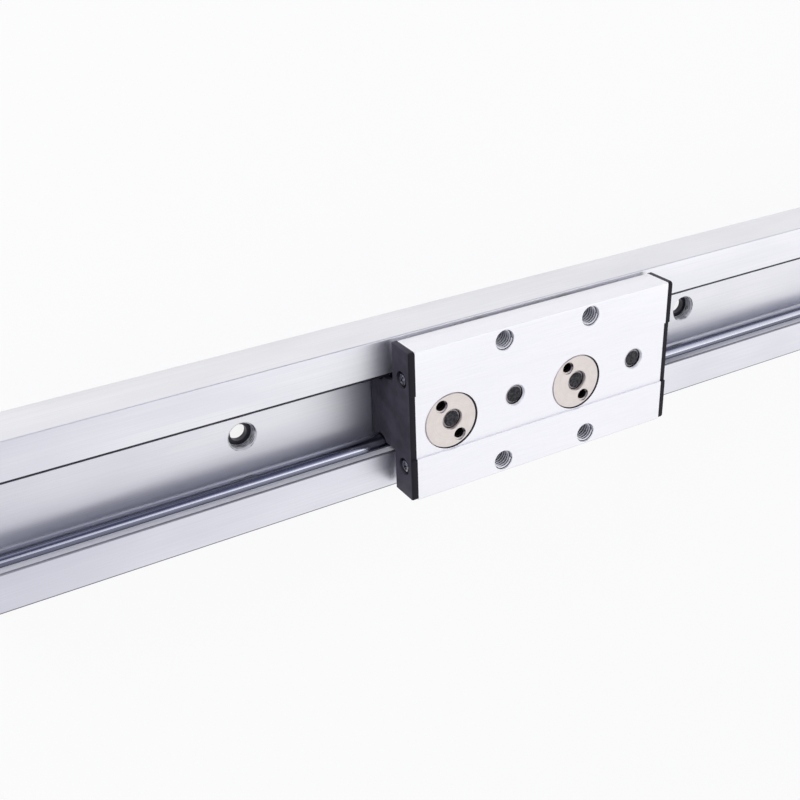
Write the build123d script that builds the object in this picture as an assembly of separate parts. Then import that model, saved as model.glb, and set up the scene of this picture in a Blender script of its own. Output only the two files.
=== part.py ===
from build123d import *
import os
from math import cos, radians, sin

# Dual-axis linear guide, in millimetres.
# Frame: the rail lies on its back. X runs along the rail, Y across it, Z out of the back.
# The origin is the middle of the rail's back face.

# Rail
rail_length = 423.0
rail_width = 62.0
rail_height = 21.1
floor_thickness = 6.3
rail_edge_radius = 0.6
channel_corner_radius = 0.8
rail_hole_pitch = 211.5
rail_hole_count = 2
rail_bolt_hole_diameter = 6.6
rail_counterbore_diameter = 10.2
rail_counterbore_depth = 3.8
rail_counterbore_chamfer = 0.65

# Guide shafts, half let into the channel walls
shaft_diameter = 8.0
shaft_setback = 0.25
shaft_seat_clearance = 0.02
shaft_end_inset = 0.5
shaft_end_chamfer = 0.5

# Carriage plate
carriage_position = 8.8
plate_end_margin = 3.2
plate_side_inset = 0.5
plate_thickness = 12.7
plate_gap = 2.6
plate_edge_chamfer = 0.5
recess_width = 26.2
recess_depth = 0.65
thread_diameter = 8.0
thread_spacing_x = 40.0
thread_edge_distance = 5.0
thread_mouth_chamfer = 0.2
axle_mouth_chamfer = 0.5

# Track rollers in one row, every other one on an eccentric disc
roller_count = 4
roller_diameter = 24.0
roller_width = 10.0
roller_pitch = 29.0
roller_offset = 1.0
roller_groove_depth = 0.75
roller_running_clearance = 0.03
roller_edge_chamfer = 0.5
outer_ring_wall = 3.0
inner_ring_wall = 2.4
inner_ring_chamfer = 0.3
axle_diameter = 8.0
axle_clearance = 0.02
shield_thickness = 0.8
shield_inset = 0.3
shield_gap = 0.1

# Balls and cage inside each roller
ball_count = 9
ball_track_depth = 0.45
ball_track_clearance = 0.03
cage_wall_share = 0.4
cage_rim = 0.5
cage_pocket_clearance = 0.05

# Axle screws and spacers
screw_head_diameter = 12.0
screw_head_height = 1.1
screw_head_floor_gap = 0.7
screw_socket_width = 5.0
screw_socket_depth = 4.0
screw_end_sink = 0.9
screw_end_chamfer = 0.8
spacer_diameter = 12.0
spacer_flange_diameter = 18.0
spacer_flange_height = 1.8

# Eccentric discs
disc_diameter = 22.3
disc_thickness = 5.0
disc_hub_diameter = 14.0
disc_clearance = 0.08
disc_rest_gap = 0.02
disc_eccentricity = 0.7
disc_rest_angle = 30.0
disc_edge_chamfer = 0.35
spanner_hole_diameter = 4.9
spanner_hole_depth = 3.5
spanner_hole_radius = 7.8
spanner_hole_angle = 120.0

# End caps and their screws
cap_thickness = 2.4
cap_corner_radius = 1.4
cap_edge_chamfer = 0.4
cap_step_chamfer = 0.3
cap_floor_clearance = 0.6
cap_wall_clearance = 2.0
cap_shaft_clearance = 0.5
cap_screw_spacing = 36.0
cap_screw_drop = 6.0
cap_screw_diameter = 3.0
cap_screw_length = 8.0
cap_screw_clearance = 0.02
cap_hole_clearance = 0.1
cap_tapped_depth_spare = 1.0
cap_counterbore_diameter = 6.8
cap_counterbore_depth = 1.6
cap_screw_head_diameter = 6.0
cap_screw_head_height = 1.5
cap_screw_crown = 0.7

# How far a cutting body runs past the face that it opens
cut_past = 1.0

# Levels and places that follow from the sizes above
shaft_radius = shaft_diameter / 2
shaft_y = roller_diameter / 2 - roller_groove_depth + shaft_radius + roller_offset
shaft_height = floor_thickness + screw_head_floor_gap + screw_head_height + roller_width / 2
channel_width = 2 * (shaft_y - shaft_setback)
plate_length = (roller_count - 1) * roller_pitch + roller_diameter + 2 * plate_end_margin
plate_width = rail_width - 2 * plate_side_inset
thread_spacing_y = plate_width - 2 * thread_edge_distance
plate_bottom = rail_height + plate_gap
plate_top = plate_bottom + plate_thickness
plate_middle = (plate_bottom + plate_top) / 2
recess_level = plate_top - recess_depth
roller_bottom = shaft_height - roller_width / 2
roller_top = shaft_height + roller_width / 2
groove_radius = shaft_radius + roller_running_clearance
outer_ring_bore = roller_diameter - 2 * outer_ring_wall
inner_ring_diameter = axle_diameter + 2 * inner_ring_wall
ball_space = (outer_ring_bore - inner_ring_diameter) / 2
ball_circle_radius = (outer_ring_bore + inner_ring_diameter) / 4
ball_radius = ball_space / 2 + ball_track_depth
disc_seat = recess_level - disc_thickness
cap_screw_level = plate_top - cap_screw_drop
eccentric_rollers = range(1, roller_count + 1, 2)
fixed_rollers = range(2, roller_count + 1, 2)


def cylinder(diameter, bottom, top, x=0.0, y=0.0):
    """An upright cylinder between two levels."""
    return Pos(x, y, (bottom + top) / 2) * Cylinder(diameter / 2, top - bottom)


def countersink(diameter, depth, level, x, y):
    """A 45-degree cutting cone that breaks the mouth of a hole at a level."""
    cone = Cone(diameter / 2, diameter / 2 + depth, depth)
    return Pos(x, y, level - depth / 2) * cone


def roller_axis(index):
    """Axis of a roller: eccentric ones bear on the lower shaft, fixed ones on the upper shaft."""
    x = carriage_position + (index - (roller_count + 1) / 2) * roller_pitch
    if index in eccentric_rollers:
        return x + disc_eccentricity * cos(radians(disc_rest_angle)), -roller_offset
    return x, roller_offset


def disc_centre(index):
    """Axis of the bore that an eccentric disc turns in."""
    x, y = roller_axis(index)
    turn = radians(disc_rest_angle)
    return x - disc_eccentricity * cos(turn), y - disc_eccentricity * sin(turn)


def shaft_circles(clearance):
    """Sections of both shafts, larger by a clearance, cut from the sketch being built."""
    with Locations((shaft_y, shaft_height), (-shaft_y, shaft_height)):
        Circle(shaft_radius + clearance, mode=Mode.SUBTRACT)


def rail_profile():
    """Channel section of the extrusion, with a round seat for a shaft in each wall."""
    with BuildSketch(Plane.YZ) as section:
        with Locations((0, rail_height / 2)):
            Rectangle(rail_width, rail_height)
        fillet(section.vertices(), rail_edge_radius)
        with BuildSketch(Plane.YZ, mode=Mode.SUBTRACT) as channel:
            with Locations((0, (floor_thickness + rail_height) / 2)):
                Rectangle(channel_width, rail_height - floor_thickness)
            fillet(channel.vertices().sort_by(Axis.Z)[:2], channel_corner_radius)
        shaft_circles(shaft_seat_clearance)
    return section.sketch


def rail_extrusion():
    """Aluminium channel with counterbored mounting holes along its floor."""
    body = extrude(rail_profile(), rail_length / 2, both=True)
    ledge = floor_thickness - rail_counterbore_depth
    for number in range(rail_hole_count):
        x = (number - (rail_hole_count - 1) / 2) * rail_hole_pitch
        body -= cylinder(rail_bolt_hole_diameter, -cut_past, floor_thickness, x)
        body -= cylinder(rail_counterbore_diameter, ledge, floor_thickness + cut_past, x)
        body -= countersink(rail_counterbore_diameter, rail_counterbore_chamfer,
                            floor_thickness, x, 0)
    return body


def guide_shaft(side):
    """Hardened round shaft in its seat, on the +Y side (1) or the -Y side (-1)."""
    bar = Cylinder(shaft_radius, rail_length - 2 * shaft_end_inset)
    bar = chamfer(bar.edges().filter_by(GeomType.CIRCLE), shaft_end_chamfer)
    return Pos(0, side * shaft_y, shaft_height) * Rot(0, 90, 0) * bar


def plate_blank():
    """Plate with broken long edges and a shallow milled band along its middle."""
    body = Box(plate_length, plate_width, plate_thickness)
    body = chamfer(body.edges().filter_by(Axis.X), plate_edge_chamfer)
    band = Box(plate_length + 2 * cut_past, recess_width, 2 * recess_depth)
    body -= Pos(0, 0, plate_thickness / 2) * band
    return Pos(carriage_position, 0, plate_middle) * body


def carriage_plate():
    """Aluminium plate: corner threads, axle threads, stepped disc bores and tapped ends."""
    body = plate_blank()
    for side_x in (-1, 1):
        for side_y in (-1, 1):
            x = carriage_position + side_x * thread_spacing_x / 2
            y = side_y * thread_spacing_y / 2
            body -= cylinder(thread_diameter, plate_bottom - cut_past, plate_top + cut_past, x, y)
            body -= countersink(thread_diameter, thread_mouth_chamfer, plate_top, x, y)
    for index in fixed_rollers:
        x, y = roller_axis(index)
        body -= cylinder(axle_diameter, plate_bottom - cut_past, plate_top, x, y)
        body -= countersink(axle_diameter, axle_mouth_chamfer, recess_level, x, y)
    for index in eccentric_rollers:
        x, y = disc_centre(index)
        body -= cylinder(disc_diameter + 2 * disc_clearance, disc_seat, plate_top, x, y)
        body -= cylinder(disc_hub_diameter + 2 * disc_clearance, plate_bottom - cut_past,
                         plate_top, x, y)
    tapped_depth = cap_screw_length + cap_tapped_depth_spare
    for end in (-1, 1):
        x = carriage_position + end * (plate_length - tapped_depth) / 2
        for side in (-1, 1):
            hole = Rot(0, 90, 0) * Cylinder(cap_screw_diameter / 2, tapped_depth)
            body -= Pos(x, side * cap_screw_spacing / 2, cap_screw_level) * hole
    return body


def cap_profile():
    """Outline of an end cap: the plate's own outline and a stem that fills the channel."""
    stem_bottom = floor_thickness + cap_floor_clearance
    with BuildSketch(Plane.YZ) as outline:
        with Locations((0, plate_middle)):
            Rectangle(plate_width, plate_thickness)
        fillet(outline.vertices().sort_by(Axis.Z)[-2:], cap_corner_radius)
        with Locations((0, plate_top)):
            Rectangle(recess_width, 2 * recess_depth, mode=Mode.SUBTRACT)
        with Locations((0, (stem_bottom + plate_middle) / 2)):
            Rectangle(channel_width - 2 * cap_wall_clearance, plate_middle - stem_bottom)
        shaft_circles(cap_shaft_clearance)
        step = outline.vertices().filter_by_position(Axis.Y, -recess_width / 2, recess_width / 2)
        chamfer(step.group_by(Axis.Z)[-1], cap_step_chamfer)
    return outline.sketch


def end_cap(end):
    """Moulded cap on the plate's left (-1) or right (1) end, with two counterbored holes."""
    shell = extrude(cap_profile(), end * cap_thickness)
    outer_face = shell.faces().sort_by(Axis.X)[-1 if end > 0 else 0]
    shell = chamfer(outer_face.outer_wire().edges(), cap_edge_chamfer)
    hole = Rot(0, 90, 0) * Cylinder(cap_screw_diameter / 2 + cap_hole_clearance,
                                    2 * (cap_thickness + cut_past))
    seat = Rot(0, 90, 0) * Cylinder(cap_counterbore_diameter / 2, 2 * cap_counterbore_depth)
    for side in (-1, 1):
        place = Pos(0, side * cap_screw_spacing / 2, cap_screw_level)
        shell -= place * hole
        shell -= place * Pos(end * cap_thickness, 0, 0) * seat
    return Pos(carriage_position + end * plate_length / 2, 0, 0) * shell


def cap_screw():
    """Crowned pan-head screw along Z, with Z = 0 at the plate's end face."""
    shank_radius = cap_screw_diameter / 2 - cap_screw_clearance
    head_radius = cap_screw_head_diameter / 2
    seat = cap_thickness - cap_counterbore_depth
    rim = (head_radius, seat + cap_screw_head_height - cap_screw_crown)
    crown = (0, seat + cap_screw_head_height)
    with BuildSketch(Plane.XZ) as half:
        with BuildLine():
            Polyline(crown, (0, -cap_screw_length), (shank_radius, -cap_screw_length),
                     (shank_radius, seat), (head_radius, seat), rim)
            TangentArc(crown, rim, tangent=(1, 0))
        make_face()
    return revolve(half.sketch, Axis.Z)


def cap_screws(end):
    """The two screws of one end cap, heads in their counterbores."""
    x = carriage_position + end * plate_length / 2
    return [Pos(x, side * cap_screw_spacing / 2, cap_screw_level) * Rot(0, end * 90, 0) * cap_screw()
            for side in (-1, 1)]


def ball_track():
    """Section of the balls' track, cut from the half section of a ring being built."""
    with Locations((ball_circle_radius, 0)):
        Circle(ball_radius + ball_track_clearance, mode=Mode.SUBTRACT)


def roller_outer_ring(index):
    """Grooved outer ring: the groove takes the shaft with the running clearance."""
    groove_centre = shaft_y - roller_offset
    with BuildSketch(Plane.XZ) as half:
        with Locations(((roller_diameter + outer_ring_bore) / 4, 0)):
            Rectangle((roller_diameter - outer_ring_bore) / 2, roller_width)
        chamfer(half.vertices().sort_by(Axis.X)[-2:], roller_edge_chamfer)
        with Locations((groove_centre, 0)):
            Circle(groove_radius, mode=Mode.SUBTRACT)
        ball_track()
    x, y = roller_axis(index)
    return Pos(x, y, shaft_height) * revolve(half.sketch, Axis.Z)


def roller_shields(index):
    """Two shields pressed in the outer ring, which close the ball space."""
    x, y = roller_axis(index)
    bore = inner_ring_diameter + 2 * shield_gap
    lowest = roller_bottom + shield_inset
    highest = roller_top - shield_inset
    spans = ((lowest, lowest + shield_thickness), (highest - shield_thickness, highest))
    return [cylinder(outer_ring_bore, low, high, x, y) - cylinder(bore, low, high, x, y)
            for low, high in spans]


def roller_inner_ring(index):
    """Inner ring of the roller's bearing, clamped on the axle screw."""
    with BuildSketch(Plane.XZ) as half:
        with Locations(((inner_ring_diameter + axle_diameter) / 4, 0)):
            Rectangle(inner_ring_wall, roller_width)
        chamfer(half.vertices().sort_by(Axis.X)[-2:], inner_ring_chamfer)
        ball_track()
    x, y = roller_axis(index)
    return Pos(x, y, shaft_height) * revolve(half.sketch, Axis.Z)


def ball_places(index):
    """Centres of a roller's balls, each with its X direction out from the roller's axis."""
    middle = Pos(*roller_axis(index), shaft_height)
    return [middle * place for place in PolarLocations(ball_circle_radius, ball_count)]


def roller_balls(index):
    """The balls that run between both rings of a roller."""
    return [place * Sphere(ball_radius) for place in ball_places(index)]


def roller_cage(index):
    """Ring that holds the balls apart, with a round pocket for each one."""
    wall = cage_wall_share * ball_space
    pocket_radius = ball_radius + cage_pocket_clearance
    height = 2 * (pocket_radius + cage_rim)
    ring = Cylinder(ball_circle_radius + wall / 2, height)
    ring -= Cylinder(ball_circle_radius - wall / 2, height)
    ring = Pos(*roller_axis(index), shaft_height) * ring
    for place in ball_places(index):
        ring -= place * Rot(0, 90, 0) * Cylinder(pocket_radius, wall + 2 * cut_past)
    return ring


def roller_spacer(index):
    """Ring between inner ring and plate; under a disc its flange grips the plate."""
    x, y = roller_axis(index)
    spacer = cylinder(spacer_diameter, roller_top, plate_bottom, x, y)
    if index in eccentric_rollers:
        low = plate_bottom - spacer_flange_height
        spacer += cylinder(spacer_flange_diameter, low, plate_bottom, x, y)
    return spacer - cylinder(axle_diameter, roller_top, plate_bottom, x, y)


def axle_screw(index):
    """Flat-head socket screw from below; its end shows from above, just under the band."""
    x, y = roller_axis(index)
    head_bottom = roller_bottom - screw_head_height
    shank = cylinder(axle_diameter - 2 * axle_clearance, head_bottom, recess_level - screw_end_sink)
    shank = chamfer(shank.faces().sort_by(Axis.Z)[-1].edges(), screw_end_chamfer)
    head = cylinder(screw_head_diameter, head_bottom, roller_bottom)
    hexagon = RegularPolygon(screw_socket_width / 2, 6, major_radius=False)
    socket = Pos(0, 0, head_bottom) * extrude(hexagon, screw_socket_depth)
    return Pos(x, y, 0) * (head + shank - socket)


def eccentric_disc(index):
    """Stepped disc with an off-centre thread for the axle and two pin-spanner holes."""
    x, y = disc_centre(index)
    rim = cylinder(disc_diameter, disc_seat + disc_rest_gap, recess_level, x, y)
    rim = chamfer(rim.faces().sort_by(Axis.Z)[-1].edges(), disc_edge_chamfer)
    hub = cylinder(disc_hub_diameter, plate_bottom, recess_level - disc_edge_chamfer, x, y)
    body = rim + hub
    body -= cylinder(axle_diameter, plate_bottom, recess_level, *roller_axis(index))
    for turn in (0, 180):
        angle = radians(spanner_hole_angle + turn)
        body -= cylinder(spanner_hole_diameter, recess_level - spanner_hole_depth, recess_level,
                         x + spanner_hole_radius * cos(angle), y + spanner_hole_radius * sin(angle))
    return body


def save(name, *solids):
    """Write one node: a single solid, or separate ones as a group."""
    shape = solids[0] if len(solids) == 1 else Compound(children=list(solids))
    shape.label = name
    export_step(shape, os.path.join("parts", name + ".step"))


os.makedirs("parts", exist_ok=True)
save("rail_extrusion", rail_extrusion())
save("guide_shaft_upper", guide_shaft(1))
save("guide_shaft_lower", guide_shaft(-1))
save("carriage_plate", carriage_plate())
for cap_side, cap_name in ((-1, "left"), (1, "right")):
    save(f"end_cap_{cap_name}", end_cap(cap_side))
    save(f"end_cap_screws_{cap_name}", *cap_screws(cap_side))
for roller in range(1, roller_count + 1):
    save(f"roller_{roller}_outer_ring", roller_outer_ring(roller))
    save(f"roller_{roller}_shields", *roller_shields(roller))
    save(f"roller_{roller}_inner_ring", roller_inner_ring(roller))
    save(f"roller_{roller}_balls", *roller_balls(roller))
    save(f"roller_{roller}_cage", roller_cage(roller))
    save(f"roller_{roller}_spacer", roller_spacer(roller))
    save(f"roller_{roller}_axle_screw", axle_screw(roller))
for roller in eccentric_rollers:
    save(f"eccentric_disc_{roller}", eccentric_disc(roller))
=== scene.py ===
"""Dressed model of a dual-axis linear guide: rail, shafts, carriage, track rollers and studio.

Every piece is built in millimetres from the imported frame's boxes and a few named sizes, and is
scaled to metres as it is finished. X runs along the rail, Y across it and Z out of its back.
"""

import logging
import math
from dataclasses import dataclass, replace
from enum import Enum
from typing import Callable, Iterable, Sequence

import bmesh
import bpy
from mathutils import Matrix, Vector

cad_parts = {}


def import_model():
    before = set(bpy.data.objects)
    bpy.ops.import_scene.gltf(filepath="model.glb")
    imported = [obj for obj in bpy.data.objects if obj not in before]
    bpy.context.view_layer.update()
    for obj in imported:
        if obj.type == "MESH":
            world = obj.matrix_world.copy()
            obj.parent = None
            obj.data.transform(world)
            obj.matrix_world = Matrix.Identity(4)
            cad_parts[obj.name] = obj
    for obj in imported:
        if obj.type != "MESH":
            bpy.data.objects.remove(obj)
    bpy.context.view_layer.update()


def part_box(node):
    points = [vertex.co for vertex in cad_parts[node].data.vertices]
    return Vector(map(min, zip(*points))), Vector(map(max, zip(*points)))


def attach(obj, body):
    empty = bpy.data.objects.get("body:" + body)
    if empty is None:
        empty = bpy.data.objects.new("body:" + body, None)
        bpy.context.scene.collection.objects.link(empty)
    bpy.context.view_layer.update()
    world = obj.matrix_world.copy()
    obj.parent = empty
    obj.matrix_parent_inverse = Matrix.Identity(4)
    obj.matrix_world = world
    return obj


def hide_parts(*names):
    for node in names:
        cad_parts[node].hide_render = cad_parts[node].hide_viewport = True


Mesh = bmesh.types.BMesh
Tree = bpy.types.NodeTree
Socket = bpy.types.NodeSocket
Tones = tuple[tuple[float, str], ...]

LOG = logging.getLogger("linear_guide")

MM = 0.001
SMOOTH_ANGLE = math.radians(32)

# In millimetres: how far cutters and marks reach past a face, and which lengths are the same
CUT_PAST = 1.0
MARK_PAST = 3.0
SAME = 1e-3
MERGED = 1e-5
MERGED_AFTER_CUT = 1e-4

# Ridge of an internal thread: its root past the hole's wall in millimetres, the rest per pitch
RIDGE_ROOT = 0.02
RIDGE_HEIGHT = 0.54
RIDGE_FOOT = 0.42
RIDGE_TIP = 0.08

ECCENTRIC_ROLLERS = (1, 3)
FIXED_ROLLERS = (2, 4)


class Side(Enum):
    """A direction along X or Y: the left and right ends, or the lower and upper sides."""

    LOW = -1
    HIGH = 1


class Slot(Enum):
    """Names of material slots; no piece here takes its finish from them."""

    RAIL = "rail_aluminium"
    PLATE = "plate_aluminium"
    SHAFT = "shaft_steel"
    CAP = "cap_plastic"
    BLACK = "black_steel"
    BEARING = "bearing_steel"
    SHIELD = "shield_steel"
    DISC = "disc_steel"
    CAGE = "cage_brass"


# Node and colour helpers


def linear(code: str) -> tuple[float, float, float, float]:
    """Turn an sRGB hex colour into a linear one.

    Args:
        code: Six hex digits, with or without a leading hash sign.

    Returns:
        Linear red, green and blue, with an alpha of 1.
    """
    digits = code.lstrip("#")
    values = [int(digits[i:i + 2], 16) / 255 for i in (0, 2, 4)]
    lin = [v / 12.92 if v <= 0.04045 else ((v + 0.055) / 1.055) ** 2.4 for v in values]
    return lin[0], lin[1], lin[2], 1.0


def per_mm(size: float) -> float:
    """Give the texture scale whose features are about a size in millimetres."""
    return 1.0 / (size * MM)


def add_node(tree: Tree, kind: str, settings: dict | None = None,
             inputs: dict | None = None) -> bpy.types.Node:
    """Add a node with its settings and its inputs.

    Args:
        tree: The node tree that takes the node.
        kind: Blender's type name of the node.
        settings: Attributes of the node, such as operation.
        inputs: Values or sockets for the inputs, by name or number; a socket is linked.

    Returns:
        The new node.
    """
    made = tree.nodes.new(kind)
    for key, value in (settings or {}).items():
        setattr(made, key, value)
    for key, value in (inputs or {}).items():
        if isinstance(value, Socket):
            tree.links.new(value, made.inputs[key])
        else:
            made.inputs[key].default_value = value
    return made


def ramp(tree: Tree, factor: Socket, stops: Tones) -> Socket:
    """Map a factor through a colour ramp.

    Args:
        tree: The node tree.
        factor: The socket that drives the ramp.
        stops: Positions with their sRGB hex colours, in rising order.

    Returns:
        The ramp's colour output.
    """
    node = add_node(tree, "ShaderNodeValToRGB", inputs={"Fac": factor})
    elements = node.color_ramp.elements
    while len(elements) < len(stops):
        elements.new(0.5)
    for element, (position, code) in zip(elements, stops):
        element.position = position
        element.color = linear(code)
    return node.outputs["Color"]


def coordinate(tree: Tree, place: Socket, axis: str) -> Socket:
    """Give one coordinate of a place: X, Y or Z."""
    return add_node(tree, "ShaderNodeSeparateXYZ", inputs={"Vector": place}).outputs[axis]


def span(tree: Tree, value: Socket, low: float, high: float) -> Socket:
    """Stretch a 0 to 1 value over a range.

    Args:
        tree: The node tree.
        value: The socket to stretch.
        low: The result at 0.
        high: The result at 1.

    Returns:
        The stretched value's output.
    """
    node = add_node(tree, "ShaderNodeMapRange",
                    inputs={"Value": value, "To Min": low, "To Max": high})
    return node.outputs["Result"]


def within(tree: Tree, value: Socket, low: float, high: float) -> Socket:
    """Mark where a length lies between two bounds.

    Args:
        tree: The node tree.
        value: The length's socket, in metres.
        low: Lower bound in millimetres.
        high: Upper bound in millimetres.

    Returns:
        A socket that is 1 between the bounds and 0 outside them.
    """
    node = add_node(tree, "ShaderNodeMath", {"operation": "COMPARE"},
                    {0: value, 1: (low + high) / 2 * MM, 2: (high - low) / 2 * MM})
    return node.outputs["Value"]


def both(tree: Tree, first: Socket, second: Socket | float) -> Socket:
    """Multiply two marks, or a mark and its strength."""
    node = add_node(tree, "ShaderNodeMath", {"operation": "MULTIPLY"}, {0: first, 1: second})
    return node.outputs["Value"]


def either(tree: Tree, *marks: Socket) -> Socket:
    """Give the strongest of several marks.

    Args:
        tree: The node tree.
        marks: Sockets from 0 to 1.

    Returns:
        A socket with the largest of the marks.
    """
    result = marks[0]
    for mark in marks[1:]:
        result = add_node(tree, "ShaderNodeMath", {"operation": "MAXIMUM"},
                          {0: result, 1: mark}).outputs["Value"]
    return result


def near_axis(tree: Tree, place: Socket, x: float, y: float, radius: float) -> Socket:
    """Mark what lies within a radius of an axis along Z.

    Args:
        tree: The node tree.
        place: Object coordinates.
        x: X of the axis in millimetres.
        y: Y of the axis.
        radius: The radius.

    Returns:
        A socket that is 1 within the radius and 0 beyond it.
    """
    flat = add_node(tree, "ShaderNodeVectorMath", {"operation": "MULTIPLY"},
                    {0: place, 1: (1.0, 1.0, 0.0)})
    reach = add_node(tree, "ShaderNodeVectorMath", {"operation": "DISTANCE"},
                     {0: flat.outputs["Vector"], 1: (x * MM, y * MM, 0.0)})
    return within(tree, reach.outputs["Value"], -radius, radius)


def blend(tree: Tree, factor: Socket, low: Socket | tuple, high: Socket | tuple) -> Socket:
    """Mix two colours.

    Args:
        tree: The node tree.
        factor: 0 gives the first colour, 1 the second.
        low: The first colour, as a socket or a linear colour.
        high: The second colour.

    Returns:
        The mixed colour's output.
    """
    node = add_node(tree, "ShaderNodeMix", {"data_type": "RGBA"}, {0: factor, 6: low, 7: high})
    return node.outputs[2]


# Finishes


@dataclass(frozen=True)
class Finish:
    """Common part of each finish: a name and its own shader network.

    Attributes:
        name: The material's name.
    """

    name: str

    def shader(self, tree: Tree, place: Socket) -> dict:
        """Build the surface inputs.

        Args:
            tree: The material's node tree.
            place: Object coordinates, in metres.

        Returns:
            Inputs of the Principled shader by name.
        """
        raise NotImplementedError

    def material(self) -> bpy.types.Material:
        """Make the material.

        Returns:
            The new material, or the one made before under the same name.
        """
        known = bpy.data.materials.get(self.name)
        if known:
            return known
        made = bpy.data.materials.new(self.name)
        made.use_nodes = True
        tree = made.node_tree
        tree.nodes.clear()
        place = add_node(tree, "ShaderNodeTexCoord").outputs["Object"]
        surface = add_node(tree, "ShaderNodeBsdfPrincipled", inputs=self.shader(tree, place))
        add_node(tree, "ShaderNodeOutputMaterial", inputs={"Surface": surface.outputs["BSDF"]})
        return made


def stretched_noise(tree: Tree, place: Socket, size: float,
                    stretch: tuple[float, float, float] = (1.0, 1.0, 1.0),
                    detail: float = 2.0) -> Socket:
    """Noise whose features can be drawn out along one or two axes.

    Args:
        tree: The node tree.
        place: Object coordinates.
        size: Feature size in millimetres before stretching.
        stretch: Scale of the coordinates on each axis; below 1 draws the features out.
        detail: Octaves of the noise.

    Returns:
        The noise value, about 0 to 1.
    """
    mapped = add_node(tree, "ShaderNodeMapping", inputs={"Vector": place, "Scale": stretch})
    noise = add_node(tree, "ShaderNodeTexNoise",
                     inputs={"Vector": mapped.outputs["Vector"], "Scale": per_mm(size),
                             "Detail": detail, "Roughness": 0.55})
    return noise.outputs["Fac"]


def bump(tree: Tree, height: Socket, depth: float) -> Socket:
    """Turn a height into a shading normal.

    Args:
        tree: The node tree.
        height: The height, about 0 to 1.
        depth: The height of the relief in millimetres.

    Returns:
        The normal's output.
    """
    node = add_node(tree, "ShaderNodeBump",
                    inputs={"Height": height, "Distance": depth * MM, "Strength": 1.0})
    return node.outputs["Normal"]


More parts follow.
